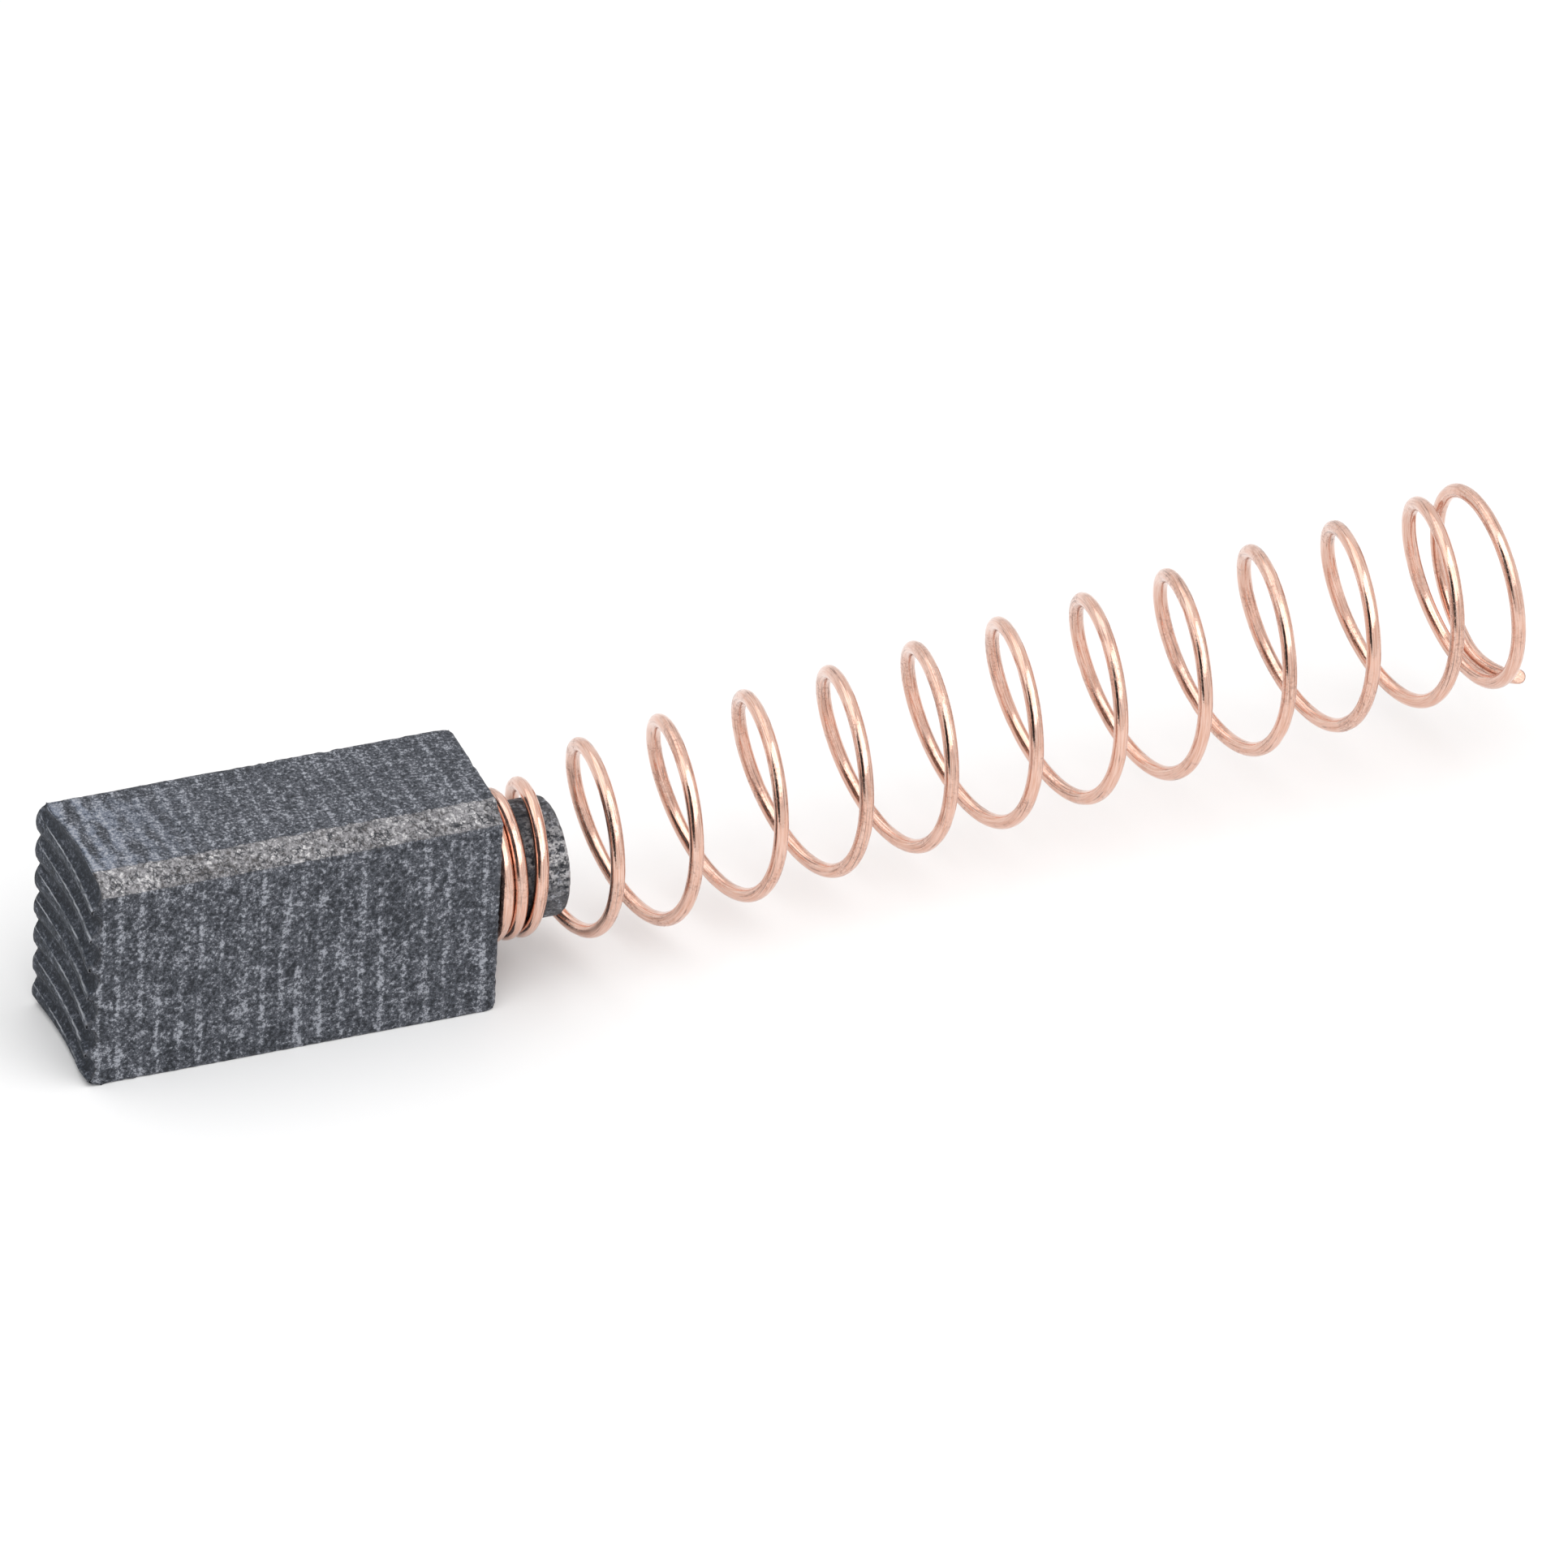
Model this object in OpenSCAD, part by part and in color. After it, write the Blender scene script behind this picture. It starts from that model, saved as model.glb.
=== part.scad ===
// Carbon brush: a pressed carbon block with a grooved contact face, and the wire spring that
// grips its stub and pushes it on to the commutator.
// The block lies on a narrow side. +X runs from the contact face to the spring's free end,
// +Y to the back and +Z up. The origin is the middle of the block's underside. Millimetres.

/* [Block] */
// Length of the block, from the crests of its contact face to the shoulder of the stub
block_length = 14.3; // [12:0.1:20]
// Width of the block, from its front face to its back face
block_width = 5; // [4.6:0.1:8]
// Height of the block, from its underside to its top face
block_height = 7.9; // [7.6:0.1:12]
// Width of the bevel along the front top edge, measured on the top face
bevel_top = 0.75; // [0.3:0.05:1.2]
// Width of the same bevel, measured on the front face
bevel_front = 0.5; // [0.3:0.05:1.2]

/* [Contact face] */
// Radius of the commutator that the contact face is hollowed for
commutator_radius = 16; // [8:0.5:40]
// Distance from one groove to the next
groove_pitch = 1.12; // [1:0.02:1.6]
// Depth of the grooves at their front end
groove_depth = 0.42; // [0.3:0.02:0.5]
// How much shallower the grooves are at their back end
groove_fade = 0.28; // [0:0.02:0.28]
// Width of the crest between two grooves at their front end
crest_land = 0.16; // [0.06:0.02:0.24]
// Radius across the crests
crest_round = 0.95; // [0.85:0.05:2]
// Height of the first crest over the top face, at its front end
crest_over = 0.12; // [0:0.02:0.3]
// Angle by which the grooves rise to the back
groove_rise = 3.4; // [0:0.2:6]

/* [Stub] */
// Diameter of the stub that the spring grips
stub_d = 4; // [3:0.1:4.4]
// Length of the stub
stub_length = 2.7; // [1.6:0.1:5]
// Radius of the rounding round the stub's end
stub_round = 0.2; // [0.1:0.05:0.8]

/* [Spring] */
// Diameter of the wire
wire_d = 0.48; // [0.3:0.02:0.56]
// Mean diameter of the open turns where they leave the stub
coil_d = 6.28; // [5.6:0.02:6.8]
// How much wider the open turns have become where they start to close
coil_growth = 0.04; // [0:0.02:0.3]
// How much wider still the closed turn is at the free end
end_growth = 0.16; // [0:0.02:0.3]
// Advance of one open turn
coil_pitch = 3.05; // [2.5:0.01:4]
// Close-wound turns that grip the stub
grip_turns = 1.75; // [1:0.25:4]
// Turns over which the wire rises from the grip to the pitch that it leaves the stub at
rise_turns = 0.75; // [0.5:0.05:1.5]
// Pitch at which the wire leaves the stub
leaving_pitch = 2.35; // [1.5:0.05:2.5]
// Turns over which the pitch settles from there to that of the open turns
settle_turns = 2.25; // [1:0.25:3]
// Open turns at full pitch
open_turns = 8.48; // [2:0.02:12]
// Turns over which the pitch runs out at the free end
closing_turns = 1.45; // [1:0.05:1.5]
// Flat part of a turn left at the free end
tail_turns = 0.32; // [0.2:0.02:0.34]
// How far the wire's cut end springs out past the turn before it
end_kick = 0.48; // [0.48:0.02:0.8]
// Where the wire starts round the stub, in degrees from the top towards the back
start_angle = 216; // [0:1:359]

/* [Spring set] */
// Angle by which the free spring leans to the back
lean_back = 3.5; // [0:0.1:5]
// Angle by which the free spring leans up
lean_up = 3.7; // [0:0.1:5]

/* [Hidden] */

$fn = 96;
carbon_colour = "#474c55";
copper_colour = "#d99a78";

// The wheel that shapes the contact face. Its axis leans with the grooves, and it just reaches
// the corners of the face.
shoulder_x = block_length / 2;
face_reach = block_width / 2 + block_height / 2 * sin(groove_rise);
wheel_x = -block_length / 2 - sqrt(pow(commutator_radius, 2) - pow(face_reach, 2));
// Height of the first crest on the wheel
first_crest = block_height / 2
    + (block_height / 2 + crest_over + block_width / 2 * sin(groove_rise)) / cos(groove_rise);
groove_count = ceil(block_height / groove_pitch);
groove_half = (groove_pitch - crest_land) / 2;
groove_round = (pow(groove_half, 2) + pow(groove_depth, 2)) / (2 * groove_depth);
// The grooves follow an arc of their own, moved to the front, so that they fade to the back
groove_shift = groove_fade * commutator_radius / block_width;
groove_reach = commutator_radius + groove_depth - groove_fade / 2;
wheel_over = 1.5;

// Clearances of the wire: to the stub under it, to the shoulder and to its own next turn
grip_gap = 0.02;
seat_gap = 0.01;
turn_gap = 0.01;
closed_pitch = wire_d + turn_gap;
grip_radius = (stub_d + wire_d) / 2 + grip_gap;
// Where along the axis it starts to turn into its lean, past the grip, and how far that takes
lean_start = wire_d + seat_gap + closed_pitch * grip_turns;
lean_length = 1.4;
// Turns over which the coil widens as it leaves the stub, and over which its end springs out
flare_start = grip_turns + 0.3;
flare_turns = 1.6;
kick_turns = 0.15;

// Mesh of the wire
rings_per_turn = 28;
wire_sides = 12;

// Smooth step from 0 to 1, and its integral
function ease(x) = let (c = min(max(x, 0), 1)) c * c * (3 - 2 * c);
function ease_sum(x) = let (c = min(max(x, 0), 1)) c * c * c * (1 - c / 2) + max(x - 1, 0);

settle_start = grip_turns + rise_turns;
open_end = settle_start + settle_turns + open_turns;
wire_turns = open_end + closing_turns + tail_turns;

// How far along the axis the wire has come after u turns, from the shoulder
function advance(u) = wire_d / 2 + seat_gap + closed_pitch * u
    + (leaving_pitch - closed_pitch) * rise_turns * ease_sum((u - grip_turns) / rise_turns)
    + (coil_pitch - leaving_pitch) * settle_turns * ease_sum((u - settle_start) / settle_turns)
    - coil_pitch * closing_turns * ease_sum((u - open_end) / closing_turns)
    + end_kick * ease((u - wire_turns + kick_turns) / kick_turns);

// The wire's distance from the axis after u turns
function turn_radius(u) = grip_radius
    + (coil_d / 2 - grip_radius) * ease((u - flare_start) / flare_turns)
    + coil_growth / 2 * max(u - settle_start, 0) / (settle_turns + open_turns)
    + end_growth / 2 * ease((u - open_end) / (closing_turns + tail_turns));

// Direction of the axis, and the two directions across it, with a share k of the lean
function axis_along(k) = [cos(k * lean_back) * cos(k * lean_up),
                          sin(k * lean_back) * cos(k * lean_up), sin(k * lean_up)];
function axis_back(k) = [-sin(k * lean_back), cos(k * lean_back), 0];
function axis_up(k) = cross(axis_along(k), axis_back(k));

// Point on the axis, s along it from the shoulder
function axis_point(s) = [shoulder_x + s, 0, block_height / 2]
    + (axis_along(1) - [1, 0, 0]) * lean_length * ease_sum((s - lean_start) / lean_length);

// Centre of the wire after u turns. It winds from the top to the back as it advances.
function wire_point(u) = let (
        s = advance(u),
        k = ease((s - lean_start) / lean_length),
        turned = start_angle + 360 * u
    ) axis_point(s) + turn_radius(u) * (sin(turned) * axis_back(k) + cos(turned) * axis_up(k));

function unit(v) = v / norm(v);

// One ring of the wire's section, square to the wire at u turns
function wire_ring(u) = let (
        step = 1 / rings_per_turn / 4,
        centre = wire_point(u),
        along = unit(wire_point(u + step) - wire_point(u - step)),
        out = unit(cross(along, axis_along(1))),
        side = cross(along, out)
    ) [for (i = [0 : wire_sides - 1]) let (a = 360 * i / wire_sides)
        centre + wire_d / 2 * (cos(a) * out + sin(a) * side)];

// Closed tube through rings of the same number of points
module tube(rings) {
    n = len(rings[0]);
    last = len(rings) - 1;
    polyhedron(
        points = [for (ring = rings) each ring],
        faces = concat(
            [[for (i = [0 : n - 1]) i]],
            [for (r = [0 : last - 1], i = [0 : n - 1]) each [
                [r * n + i, (r + 1) * n + i, r * n + (i + 1) % n],
                [r * n + (i + 1) % n, (r + 1) * n + i, (r + 1) * n + (i + 1) % n]]],
            [[for (i = [n - 1 : -1 : 0]) last * n + i]]),
        convexity = 10);
}

// Section of the block, seen along X
module block_section() {
    polygon([
        [-block_width / 2, 0],
        [block_width / 2, 0],
        [block_width / 2, block_height],
        [-block_width / 2 + bevel_top, block_height],
        [-block_width / 2, block_height - bevel_front]]);
}

// The wheel that hollows the contact face and leaves its rounded crests, with a notch between
// each two
module hollowing_wheel() {
    rotate_extrude($fn = 240) difference() {
        translate([0, -wheel_over])
            square([commutator_radius + crest_round, block_height + 2 * wheel_over]);
        for (i = [-1 : groove_count + 1])
            translate([commutator_radius + crest_round, first_crest - groove_pitch * i])
                circle(r = crest_round, $fn = 96);
    }
}

// The rings that cut the grooves
module grooving_rings() {
    rotate_extrude($fn = 240)
        for (i = [-1 : groove_count])
            translate([groove_reach - groove_round, first_crest - groove_pitch * (i + 0.5)])
                circle(r = groove_round, $fn = 48);
}

// Stub with a rounded end, from z = 0 up
module stub() {
    rotate_extrude() {
        square([stub_d / 2, stub_length - stub_round]);
        square([stub_d / 2 - stub_round, stub_length]);
        translate([stub_d / 2 - stub_round, stub_length - stub_round])
            intersection() {
                circle(r = stub_round, $fn = 32);
                square(stub_round);
            }
    }
}

module carbon_block() {
    color(carbon_colour) {
        difference() {
            translate([-block_length / 2, 0, 0])
                rotate([90, 0, 90]) linear_extrude(block_length) block_section();
            translate([wheel_x, 0, block_height / 2]) rotate([groove_rise, 0, 0])
                translate([0, 0, -block_height / 2]) {
                    hollowing_wheel();
                    translate([0, -groove_shift, 0]) grooving_rings();
                }
        }
        translate([shoulder_x, 0, block_height / 2]) rotate([0, 90, 0]) stub();
    }
}

module spring() {
    color(copper_colour)
        tube([for (i = [0 : round(wire_turns * rings_per_turn)]) wire_ring(i / rings_per_turn)]);
}

carbon_block();
spring();
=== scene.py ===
import math

import bpy
import numpy as np
from bpy.props import FloatProperty, FloatVectorProperty, IntProperty, PointerProperty
from mathutils import Matrix, Vector, noise


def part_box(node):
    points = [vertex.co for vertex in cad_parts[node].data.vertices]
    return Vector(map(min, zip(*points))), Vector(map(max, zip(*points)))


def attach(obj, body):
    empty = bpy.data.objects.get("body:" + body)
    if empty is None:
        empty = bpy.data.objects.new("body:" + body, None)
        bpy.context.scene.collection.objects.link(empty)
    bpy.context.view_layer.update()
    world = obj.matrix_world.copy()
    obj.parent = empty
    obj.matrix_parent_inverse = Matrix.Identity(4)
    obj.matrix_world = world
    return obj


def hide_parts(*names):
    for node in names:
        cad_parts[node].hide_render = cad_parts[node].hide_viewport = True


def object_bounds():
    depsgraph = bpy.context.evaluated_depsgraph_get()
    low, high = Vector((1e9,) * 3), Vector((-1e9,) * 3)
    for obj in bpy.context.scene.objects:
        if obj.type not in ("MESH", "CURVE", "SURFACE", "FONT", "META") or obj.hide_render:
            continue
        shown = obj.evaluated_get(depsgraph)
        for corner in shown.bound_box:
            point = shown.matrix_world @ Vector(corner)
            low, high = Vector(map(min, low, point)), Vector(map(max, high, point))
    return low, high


bl_info = {
    "name": "Carbon Brush",
    "version": (1, 0, 0),
    "blender": (4, 5, 0),
    "location": "View3D > Sidebar > Carbon Brush",
    "description": "Carbon block with a grooved contact face, and the copper spring on its stub",
    "category": "Object",
}

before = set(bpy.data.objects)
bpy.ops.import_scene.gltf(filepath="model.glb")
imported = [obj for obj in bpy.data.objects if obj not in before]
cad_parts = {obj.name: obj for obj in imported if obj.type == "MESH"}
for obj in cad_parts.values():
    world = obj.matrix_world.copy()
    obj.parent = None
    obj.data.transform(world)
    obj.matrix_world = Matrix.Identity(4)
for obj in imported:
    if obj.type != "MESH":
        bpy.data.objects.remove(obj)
CAD_LOW, CAD_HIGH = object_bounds()
BLOCK_LOW, BLOCK_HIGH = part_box("carbon_block")

# Meshes are worked out in millimetres and written in metres.
MM = 0.001


def length(name, description, default):
    """A length that a user may change, in metres."""
    return FloatProperty(
        name=name, description=description, default=default, min=0.0, precision=5,
        subtype="DISTANCE", unit="LENGTH",
    )


def turns(name, description, default):
    return FloatProperty(name=name, description=description, default=default, min=0.0)


def angle(name, description, degrees):
    return FloatProperty(
        name=name, description=description, default=math.radians(degrees), subtype="ANGLE",
        unit="ROTATION",
    )


def colour(name, description, default):
    return FloatVectorProperty(
        name=name, description=description, default=default, size=3, min=0, max=1, subtype="COLOR"
    )


def share(name, description, default, most=1.0):
    return FloatProperty(
        name=name, description=description, default=default, min=0.0, max=most, subtype="FACTOR"
    )


class CarbonBlockSettings(bpy.types.PropertyGroup):
    """Sizes and colours of the block and its stub"""

    block_length: length("Block length", "From the crests to the shoulder", 0.0143)
    bevel_top: length("Bevel on top", "Width of the bevel on the top face", 0.00075)
    bevel_front: length("Bevel on front", "Width of the bevel on the front face", 0.0005)
    commutator_radius: length("Commutator radius", "Radius that the contact face is hollowed to", 0.016)
    groove_pitch: length("Groove pitch", "Distance from one groove to the next", 0.00112)
    groove_depth: length("Groove depth", "Depth of the grooves at their front end", 0.00042)
    groove_fade: length("Groove fade", "How much shallower they are at the back", 0.00028)
    crest_land: length("Crest land", "Width of the crests at their front end", 0.00016)
    crest_round: length("Crest rounding", "Radius across the crests", 0.00095)
    crest_over: length("Crest over", "Height of the first crest over the top face", 0.00012)
    groove_rise: angle("Groove rise", "Angle by which the grooves rise to the back", 3.4)
    stub_diameter: length("Stub diameter", "Diameter of the stub", 0.004)
    stub_length: length("Stub length", "Length of the stub", 0.0027)
    stub_round: length("Stub rounding", "Radius round the stub's end", 0.0002)
    grain_relief: length("Grain relief", "Height of the grain that is modelled", 0.000012)
    edge_wear: length("Edge wear", "How far the sharp edges are worn back", 0.00002)
    corner_wear: length("Corner wear", "How far the corners are worn back", 0.00008)
    chip_depth: length("Chip depth", "Depth of the largest chips in the edges", 0.00003)
    face_dark: colour("Face, dark grains", "Darkest grains of the pressed faces", (0.018, 0.021, 0.027))
    face_mid: colour("Face", "Middle colour of the pressed faces", (0.074, 0.08, 0.096))
    face_light: colour("Face, light grains", "Lightest grains of the pressed faces", (0.37, 0.385, 0.43))
    bevel_dark: colour("Bevel, dark grains", "Darkest grains of the bevel", (0.07, 0.066, 0.066))
    bevel_mid: colour("Bevel", "Middle colour of the bevel", (0.262, 0.257, 0.27))
    bevel_light: colour("Bevel, light grains", "Lightest grains of the bevel", (0.7, 0.685, 0.69))
    contact_dark: colour("Contact face, dark grains", "Its darkest grains", (0.01, 0.013, 0.019))
    contact_mid: colour("Contact face", "Middle colour of the contact face", (0.034, 0.041, 0.055))
    contact_light: colour("Contact face, light grains", "Its lightest grains", (0.19, 0.205, 0.245))
    # Burnished crest edges, painted lighter as a highlight
    crest_burnish_and_highlight: colour("Crest edges", "Burnished edges of the crests", (0.44, 0.46, 0.5))
    stub_mid: colour("Stub", "Middle colour of the stub", (0.085, 0.088, 0.098))
    # Pale colour of the stub's burnished flecks, painted as a sheen in a band up from its front
    burnish: colour("Burnish", "Burnished patches of the stub", (0.8, 0.8, 0.82))
    bloom: colour("Bloom", "Pale bluish bloom near the contact face", (0.2, 0.235, 0.31))


class SpringSettings(bpy.types.PropertyGroup):
    """Sizes and colours of the spring's wire"""

    wire_diameter: length("Wire diameter", "Diameter of the wire", 0.00048)
    grip_clearance: length("Grip clearance", "Gap between the wire and the stub", 0.00002)
    coil_diameter: length("Coil diameter", "Mean diameter of the open turns", 0.00628)
    coil_growth: length("Coil growth", "How much wider the open turns become", 0.00004)
    end_growth: length("End growth", "How much wider still the closed end is", 0.00016)
    coil_pitch: length("Coil pitch", "Advance of one open turn", 0.00305)
    leaving_pitch: length("Leaving pitch", "Pitch at which the wire leaves the stub", 0.00235)
    grip_turns: turns("Grip turns", "Close-wound turns on the stub", 1.75)
    rise_turns: turns("Rise turns", "Turns over which the wire leaves the grip", 0.75)
    settle_turns: turns("Settle turns", "Turns over which the pitch becomes full", 2.25)
    open_turns: turns("Open turns", "Turns at full pitch", 8.48)
    closing_turns: turns("Closing turns", "Turns over which the pitch runs out", 1.45)
    tail_turns: turns("Tail turns", "Flat part of a turn at the free end", 0.32)
    end_kick: length("End kick", "How far the cut end springs out", 0.00048)
    start_angle: angle("Start angle", "Where the wire starts, from the top to the back", 216)
    lean_back: angle("Lean back", "Lean of the free spring to the back", 3.5)
    lean_up: angle("Lean up", "Lean of the free spring upwards", 3.7)
    sides: IntProperty(name="Sides", description="Sides of the wire's section", default=24, min=8)
    rings: IntProperty(name="Rings", description="Rings of mesh in one turn", default=96, min=24)
    copper: colour("Copper", "Colour of the clean wire", (0.8, 0.56, 0.47))
    copper_deep: colour("Copper, draw lines", "Colour along the draw lines", (0.7, 0.41, 0.31))
    tarnish: colour("Tarnish", "Colour of the tarnished spots", (0.2, 0.12, 0.1))


class StageSettings(bpy.types.PropertyGroup):
    """Floor, lamps and camera"""

    floor: colour("Floor", "Colour of the floor", (0.94, 0.94, 0.94))
    fill: share("Fill", "Level of the light from all round", 0.62, 2.0)
    key: share("Key", "Level of the lamp above the front", 0.6, 4.0)
    lens: FloatProperty(name="Lens", description="Focal length in mm", default=600, min=50)
    view_width: length("View width", "Width of what the camera sees at the object", 0.050842)


# ---- small helpers


def smooth(x):
    """Smooth step from 0 to 1."""
    c = np.clip(x, 0.0, 1.0)
    return c * c * (3 - 2 * c)


def smooth_sum(x):
    """Integral of the smooth step."""
    c = np.clip(x, 0.0, 1.0)
    return c**3 * (1 - c / 2) + np.maximum(x - 1, 0.0)


def wave(points, scale, shift=0.0, stretch=(1, 1, 1)):
    """Smooth noise from -1 to 1 at each point, with features about 1/scale long."""
    spots = points * (scale * np.array(stretch, float)) + shift
    return np.fromiter((noise.noise(Vector(p)) for p in spots), float, len(spots))


def rough(points, scale, shift=0.0, octaves=3):
    """Noise of several sizes at once."""
    total, weight = np.zeros(len(points)), 1.0
    for i in range(octaves):
        total += weight * wave(points, scale * 2**i, shift + 7.3 * i)
        weight *= 0.55
    return total


def mesh_object(name, points, faces, marks):
    """New mesh object from points in millimetres, with a value at each point for each mark."""
    mesh = bpy.data.meshes.new(name)
    mesh.from_pydata([tuple(p) for p in points * MM], [], faces)
    mesh.validate()
    for key, values in marks.items():
        layer = mesh.attributes.new(key, "FLOAT", "POINT")
        layer.data.foreach_set("value", np.asarray(values, np.float32))
    mesh.shade_smooth()
    piece = bpy.data.objects.new(name, mesh)
    bpy.context.scene.collection.objects.link(piece)
    return piece


def turn_outward(piece):
    """Turns the faces so that the skin's normals point out."""
    mesh = piece.data
    volume = 0.0
    mesh.calc_loop_triangles()
    for triangle in mesh.loop_triangles:
        first, second, third = (mesh.vertices[i].co for i in triangle.vertices)
        volume += first.dot(second.cross(third))
    if volume < 0:
        mesh.flip_normals()


def vertex_normals(piece):
    normals = np.zeros(len(piece.data.vertices) * 3, np.float32)
    piece.data.vertex_normals.foreach_get("vector", normals)
    return normals.reshape(-1, 3).astype(float)


def place(piece, points, node):
    """Moves the mesh's points to these, in millimetres, and keeps them inside the node's box."""
    low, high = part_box(node)
    points = np.clip(points * MM, low, high).astype(np.float32)
    piece.data.vertices.foreach_set("co", points.ravel())
    piece.data.update()


# ---- materials


class Graph:
    """Short way to add and join nodes in a material or a group."""

    def __init__(self, tree):
        self.tree = tree

    def add(self, kind, inputs=None, **settings):
        node = self.tree.nodes.new(kind)
        for key, value in settings.items():
            setattr(node, key, value)
        for key, value in (inputs or {}).items():
            self.join(value, node.inputs[key])
        return node

    def join(self, value, socket):
        if isinstance(value, bpy.types.NodeSocket):
            self.tree.links.new(value, socket)
        elif socket.type == "RGBA":
            socket.default_value = (*value, 1.0)
        else:
            socket.default_value = value

    def math(self, operation, a, b=0.0, clamp=False):
        node = self.add("ShaderNodeMath", {0: a, 1: b}, operation=operation, use_clamp=clamp)
        return node.outputs[0]

    def plus(self, a, b):
        return self.math("ADD", a, b)

    def minus(self, a, b):
        return self.math("SUBTRACT", a, b)

    def times(self, a, b):
        return self.math("MULTIPLY", a, b)

    def sway(self, value, amount, middle=0.5):
        """How far a value is from its middle, times an amount."""
        return self.times(self.minus(value, middle), amount)

    def ramp(self, value, low, high, to_low=0.0, to_high=1.0):
        """Smooth step of a value between two limits."""
        node = self.add(
            "ShaderNodeMapRange",
            {"Value": value, "From Min": low, "From Max": high, "To Min": to_low, "To Max": to_high},
            interpolation_type="SMOOTHSTEP",
        )
        return node.outputs["Result"]

    def mix(self, factor, a, b):
        """Mix of two colours."""
        return self.add("ShaderNodeMix", {0: factor, 6: a, 7: b}, data_type="RGBA").outputs[2]

    def blend(self, factor, a, b):
        """Mix of two values."""
        return self.add("ShaderNodeMix", {0: factor, 2: a, 3: b}, data_type="FLOAT").outputs[0]

    def place(self, stretch=(1, 1, 1)):
        """The object's own coordinates, stretched."""
        spot = self.add("ShaderNodeTexCoord").outputs["Object"]
        return self.add("ShaderNodeMapping", {"Vector": spot, "Scale": stretch}).outputs[0]

    def noise(self, vector, scale, detail=3.0, roughness=0.55):
        inputs = {"Vector": vector, "Scale": scale, "Detail": detail, "Roughness": roughness}
        return self.add("ShaderNodeTexNoise", inputs).outputs["Fac"]

    def attribute(self, name):
        return self.add("ShaderNodeAttribute", attribute_name=name).outputs["Fac"]


def effect_group(name, inputs, outputs, build):
    """A shader node group with named sockets, made once."""
    tree = bpy.data.node_groups.get(name)
    if tree:
        return tree
    tree = bpy.data.node_groups.new(name, "ShaderNodeTree")
    for label, kind, default in inputs:
        socket = tree.interface.new_socket(label, in_out="INPUT", socket_type=kind)
        socket.default_value = default
    for label, kind in outputs:
        tree.interface.new_socket(label, in_out="OUTPUT", socket_type=kind)
    graph = Graph(tree)
    start = tree.nodes.new("NodeGroupInput")
    end = tree.nodes.new("NodeGroupOutput")
    build(graph, start.outputs, lambda label, value: graph.join(value, end.inputs[label]))
    return tree


VALUE, COLOUR = "NodeSocketFloat", "NodeSocketColor"

# Scales of the grains and the pressing streaks
FACE_GRAIN, BEVEL_GRAIN, STUB_GRAIN, STREAKS = 9500.0, 7500.0, 6000.0, 450.0
# Level that all three carbon materials share
CARBON = {"Specular IOR Level": 0.3}


def carbon_grain():
    """Fine light and dark grains, as colour, height and a mask of the light ones."""

    def build(g, given, put):
        spot = g.place()
        fine = g.noise(spot, g.times(given["Scale"], 0.95), 5.0, 0.8)
        coarse = g.noise(spot, g.times(given["Scale"], 0.4), 2.0, 0.5)
        patches = g.noise(spot, g.times(given["Scale"], 0.08), 2.0, 0.5)
        grain = g.plus(fine, g.sway(coarse, 0.27))
        grain = g.plus(grain, g.sway(patches, 0.12))
        grain = g.plus(grain, given["Shift"])
        light = g.ramp(grain, 0.52, 0.64)
        dark = g.ramp(grain, 0.49, 0.39)
        tone = g.mix(dark, given["Mid"], given["Dark"])
        put("Color", g.mix(light, tone, given["Light"]))
        put("Height", grain)
        put("Light grains", light)

    return effect_group(
        "carbon_grain",
        [
            ("Scale", VALUE, FACE_GRAIN),
            ("Shift", VALUE, 0.0),
            ("Dark", COLOUR, (0.03, 0.04, 0.05, 1)),
            ("Mid", COLOUR, (0.12, 0.13, 0.15, 1)),
            ("Light", COLOUR, (0.3, 0.32, 0.35, 1)),
        ],
        [("Color", COLOUR), ("Height", VALUE), ("Light grains", VALUE)],
        build,
    )


def pressing_streaks():
    """Streaks across the length, left by the pressing and the sliding of the block."""

    def build(g, given, put):
        bands = g.add(
            "ShaderNodeTexWave",
            {
                "Vector": g.place((1, 0.25, 0.12)),
                "Scale": given["Scale"],
                "Distortion": 3.2,
                "Detail": 2.0,
                "Detail Scale": 2.2,
                "Detail Roughness": 0.6,
            },
            bands_direction="X",
        ).outputs["Fac"]
        thin = g.noise(g.place((1, 0.12, 0.09)), g.times(given["Scale"], 9.0), 2.0)
        broken = g.noise(g.place((1, 0.4, 0.3)), g.times(given["Scale"], 3.0), 2.0)
        lines = g.plus(g.times(bands, 0.45), g.times(thin, 0.55))
        speckle = g.noise(g.place((1, 0.8, 0.7)), g.times(given["Scale"], 13.0), 3.0, 0.65)
        broken = g.times(g.ramp(broken, 0.34, 0.52), g.ramp(speckle, 0.32, 0.5, to_low=0.25))
        streak = g.times(g.ramp(lines, 0.5, 0.76), broken)
        put("Mask", streak)
        put("Height", lines)

    return effect_group(
        "pressing_streaks",
        [("Scale", VALUE, STREAKS)],
        [("Mask", VALUE), ("Height", VALUE)],
        build,
    )


def fine_pits():
    """Small dark pits and cracks, as a mask."""

    def build(g, given, put):
        spot = g.place()
        warp = g.noise(spot, g.times(given["Scale"], 0.8), 2.0)
        push = g.add("ShaderNodeCombineXYZ", {"X": g.times(warp, 0.00025), "Y": g.times(warp, -0.0002)})
        bent = g.add("ShaderNodeVectorMath", {0: spot, 1: push.outputs[0]}, operation="ADD").outputs[0]
        cells = g.add(
            "ShaderNodeTexVoronoi",
            {"Vector": bent, "Scale": given["Scale"]},
            feature="DISTANCE_TO_EDGE",
        ).outputs["Distance"]
        patch = g.noise(spot, g.times(given["Scale"], 0.45), 2.0)
        put("Mask", g.times(g.ramp(cells, 0.16, 0.03), g.ramp(patch, 0.42, 0.6)))

    return effect_group("fine_pits", [("Scale", VALUE, 4500.0)], [("Mask", VALUE)], build)


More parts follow.
